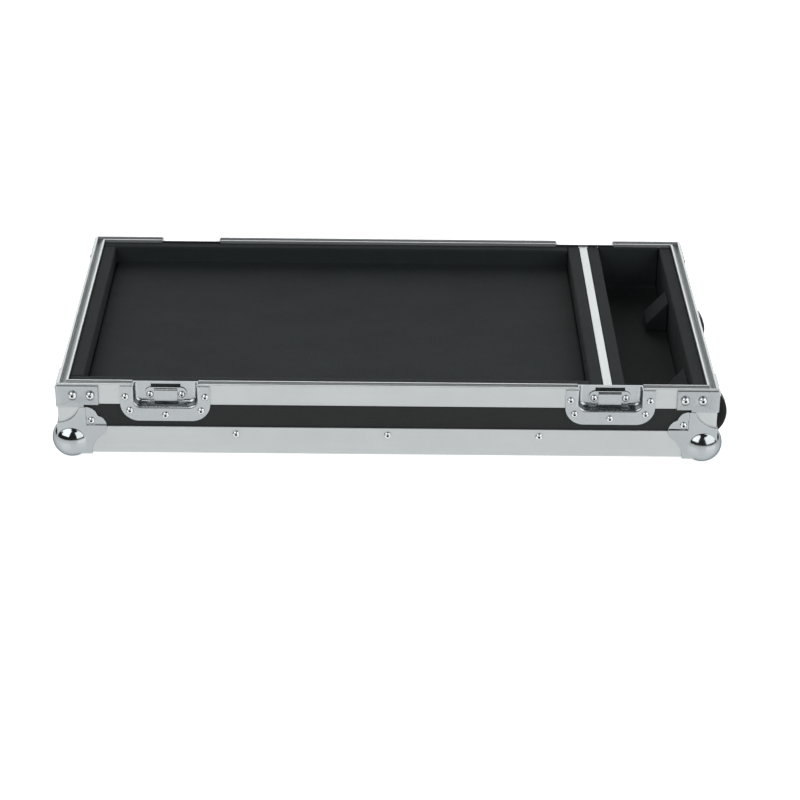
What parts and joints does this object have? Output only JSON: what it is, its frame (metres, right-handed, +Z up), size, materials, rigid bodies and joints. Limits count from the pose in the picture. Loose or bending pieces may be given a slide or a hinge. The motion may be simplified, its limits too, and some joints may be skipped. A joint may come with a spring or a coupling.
{
  "type": "wheeled road case tray",
  "caption": "Open base tray of a wheeled road case: aluminium-edged black panels, ball corners, recessed latch keepers, foam-lined compartments and inline end wheels.",
  "frame": {"origin": "on the ground, under the middle of the tray's plan", "axes": "+X to the wheeled end, +Y from the front wall to the back wall, +Z up"},
  "size_m": [0.7847, 0.455, 0.0965],
  "materials": {
    "laminate": "black textured laminate over plywood",
    "aluminium": "satin anodised extrusion",
    "plated_steel": "bright nickel plate",
    "zinc_steel": "zinc plated sheet",
    "foam": "charcoal closed-cell foam",
    "tyre": "cast polyurethane",
    "hub_nylon": "moulded nylon",
    "housing_steel": "black powder coat",
    "bright_steel": "turned steel"
  },
  "bodies": {
    "case": {"back_axle": "bright_steel", "back_bottom_angle": "aluminium", "back_foam": "foam", "back_left_ball_corner": "plated_steel", "back_left_corner_angle": "aluminium", "back_left_corner_plate": "zinc_steel", "back_left_latch_dish": "plated_steel", "back_left_latch_keeper": "plated_steel", "back_panel": "laminate", "back_right_ball_corner": "plated_steel", "back_right_corner_angle": "aluminium", "back_right_corner_plate": "zinc_steel", "back_right_latch_dish": "plated_steel", "back_right_latch_keeper": "plated_steel", "back_rim": "aluminium", "back_wheel_cover": "foam", "back_wheel_housing": "housing_steel", "ball_corner_rivets": "plated_steel", "bearing_spacers": "bright_steel", "bottom_panel": "laminate", "corner_plate_rivets": "plated_steel", "divider_cap": "aluminium", "divider_left_foam": "foam", "divider_panel": "laminate", "divider_right_foam": "foam", "edge_rivets": "plated_steel", "front_axle": "bright_steel", "front_bottom_angle": "aluminium", "front_foam": "foam", "front_left_ball_corner": "plated_steel", "front_left_corner_angle": "aluminium", "front_left_corner_plate": "zinc_steel", "front_left_latch_dish": "plated_steel", "front_left_latch_keeper": "plated_steel", "front_panel": "laminate", "front_right_ball_corner": "plated_steel", "front_right_corner_angle": "aluminium", "front_right_corner_plate": "zinc_steel", "front_right_latch_dish": "plated_steel", "front_right_latch_keeper": "plated_steel", "front_rim": "aluminium", "front_wheel_cover": "foam", "front_wheel_housing": "housing_steel", "latch_rivets": "plated_steel", "left_bottom_angle": "aluminium", "left_foam": "foam", "left_panel": "laminate", "left_rim": "aluminium", "main_floor_foam": "foam", "right_bottom_angle": "aluminium", "right_foam": "foam", "right_panel": "laminate", "right_rim": "aluminium", "side_floor_foam": "foam"},
    "front_wheel": {"front_tyre": "tyre", "front_wheel_bearings": "bright_steel", "front_wheel_hub": "hub_nylon"},
    "back_wheel": {"back_tyre": "tyre", "back_wheel_bearings": "bright_steel", "back_wheel_hub": "hub_nylon"}
  },
  "joints": [
    {"name": "front_wheel_spin", "type": "hinge", "parent": "case", "child": "front_wheel", "pos_m": [0.3652, -0.145, 0.0345], "axis": [0, 1, 0], "continuous": true},
    {"name": "back_wheel_spin", "type": "hinge", "parent": "case", "child": "back_wheel", "pos_m": [0.3652, 0.084, 0.0345], "axis": [0, 1, 0], "continuous": true}
  ]
}
